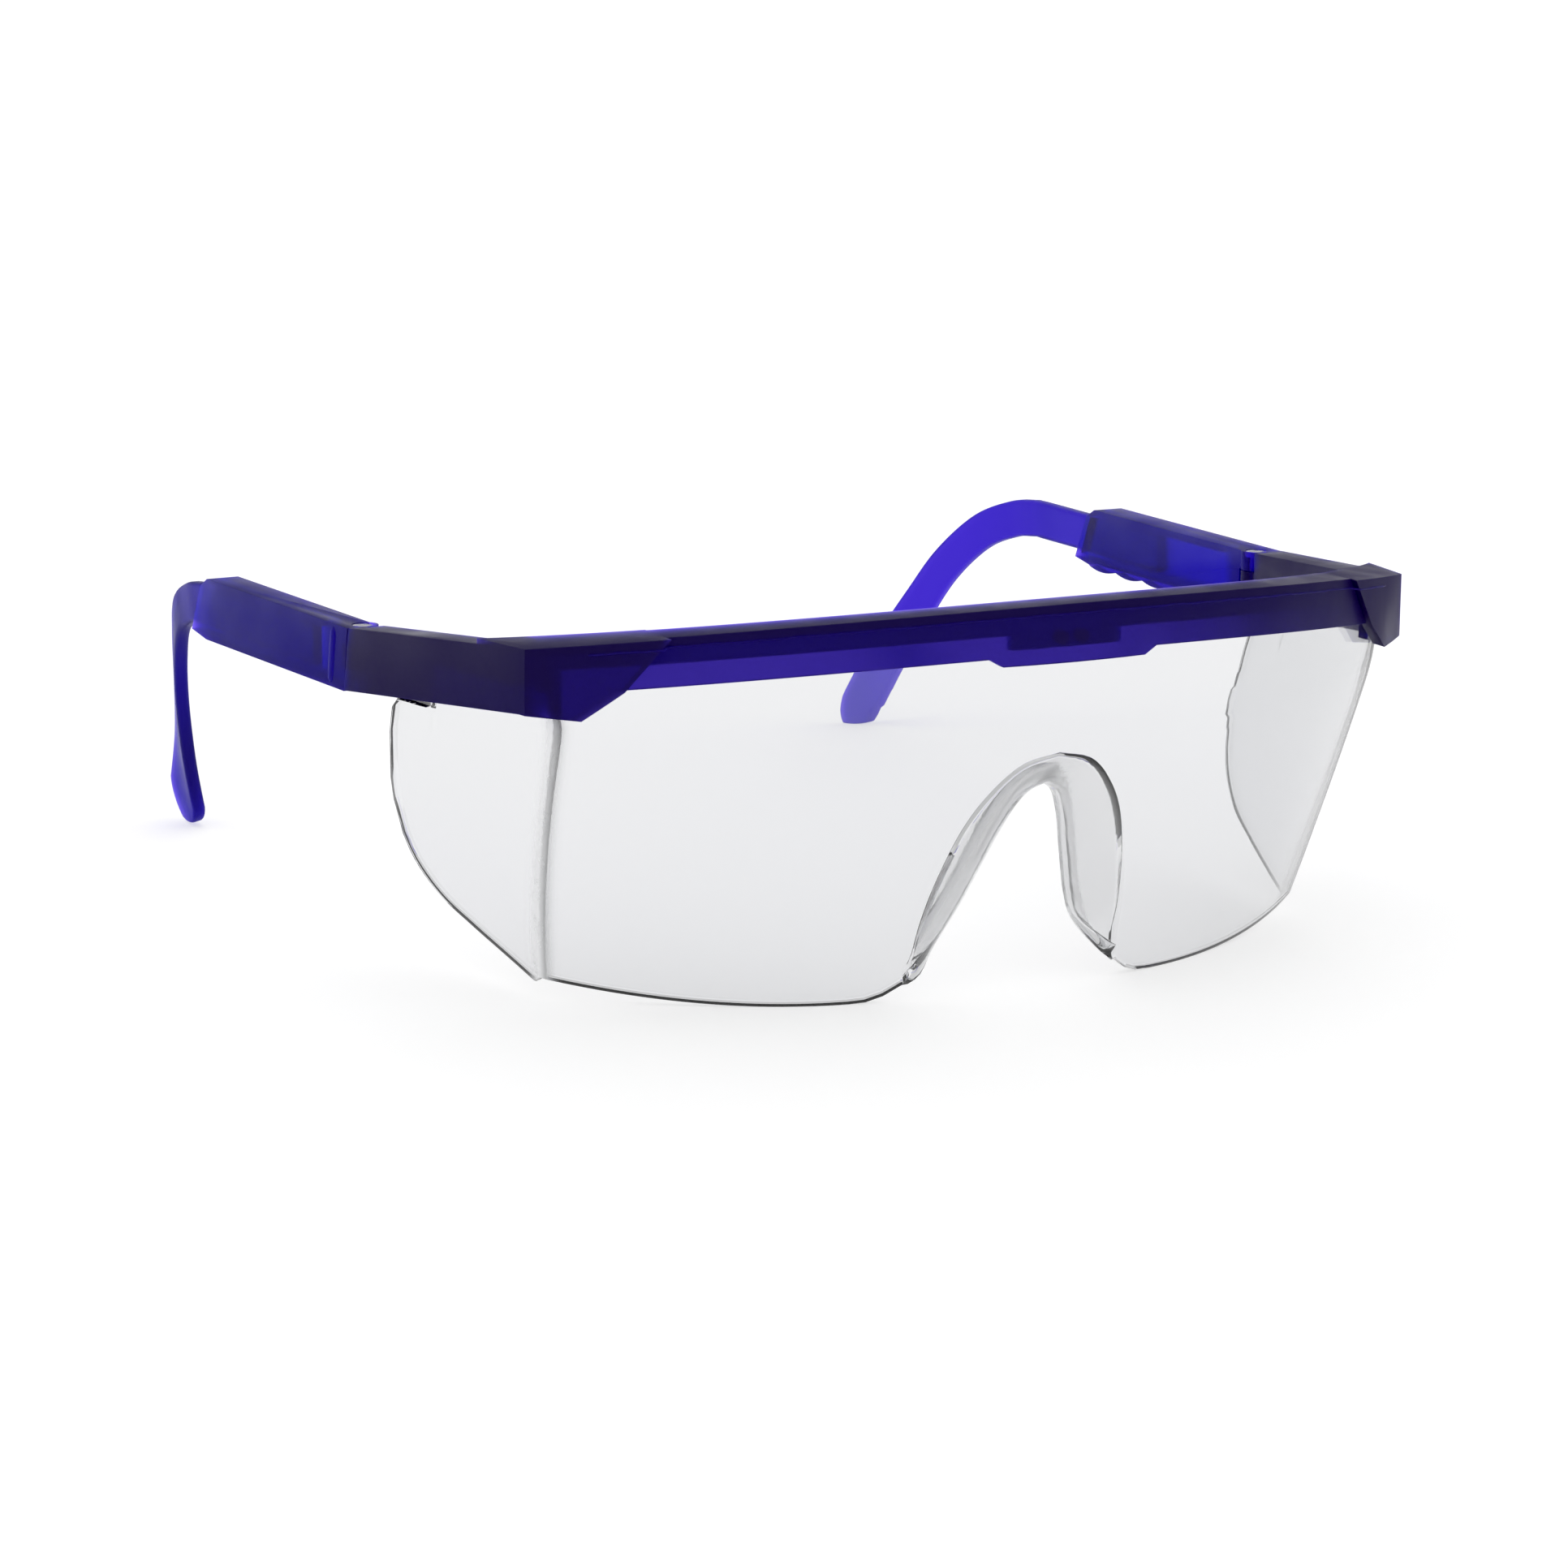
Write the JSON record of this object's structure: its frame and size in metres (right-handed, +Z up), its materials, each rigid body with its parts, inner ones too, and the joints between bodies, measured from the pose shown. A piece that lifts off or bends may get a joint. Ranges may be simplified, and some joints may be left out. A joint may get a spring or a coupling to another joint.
{
  "type": "safety glasses",
  "caption": "Wraparound safety glasses with a one-piece clear lens with side shields, a tinted brow frame and folding, length-adjustable temples.",
  "frame": {"origin": "on the surface that the glasses stand on, under the middle of their width and length", "axes": "+Z up, the wearer looks along -Y and +X is the wearer's left; +Y runs back along the temples"},
  "size_m": [0.1502, 0.1749, 0.055],
  "materials": {
    "tinted_plastic": "gloss, slightly see-through violet-blue",
    "clear_lens": "clear gloss polycarbonate",
    "screw_steel": "plain"
  },
  "bodies": {
    "front": {"brow_frame": "tinted_plastic", "lens": "clear_lens"},
    "left_temple": {"temple_sleeve_left": "tinted_plastic", "hinge_screw_left": "screw_steel"},
    "right_temple": {"temple_sleeve_right": "tinted_plastic", "hinge_screw_right": "screw_steel"},
    "left_arm": {"temple_arm_left": "tinted_plastic"},
    "right_arm": {"temple_arm_right": "tinted_plastic"}
  },
  "joints": [
    {"name": "left_fold", "type": "hinge", "parent": "front", "child": "left_temple", "pos_m": [0.0706, -0.0199, 0.0417], "axis": [0.0005, 0.0192, 0.9998], "range_deg": [0, 82]},
    {"name": "right_fold", "type": "hinge", "parent": "front", "child": "right_temple", "pos_m": [-0.0706, -0.0199, 0.0417], "axis": [0.0005, -0.0192, -0.9998], "range_deg": [0, 98]},
    {"name": "left_length", "type": "slide", "parent": "left_temple", "child": "left_arm", "axis": [0.0262, 0.9995, -0.0192], "range_m": [-0.016, 0.008]},
    {"name": "right_length", "type": "slide", "parent": "right_temple", "child": "right_arm", "axis": [-0.0262, 0.9995, -0.0192], "range_m": [0, 0.024]}
  ]
}
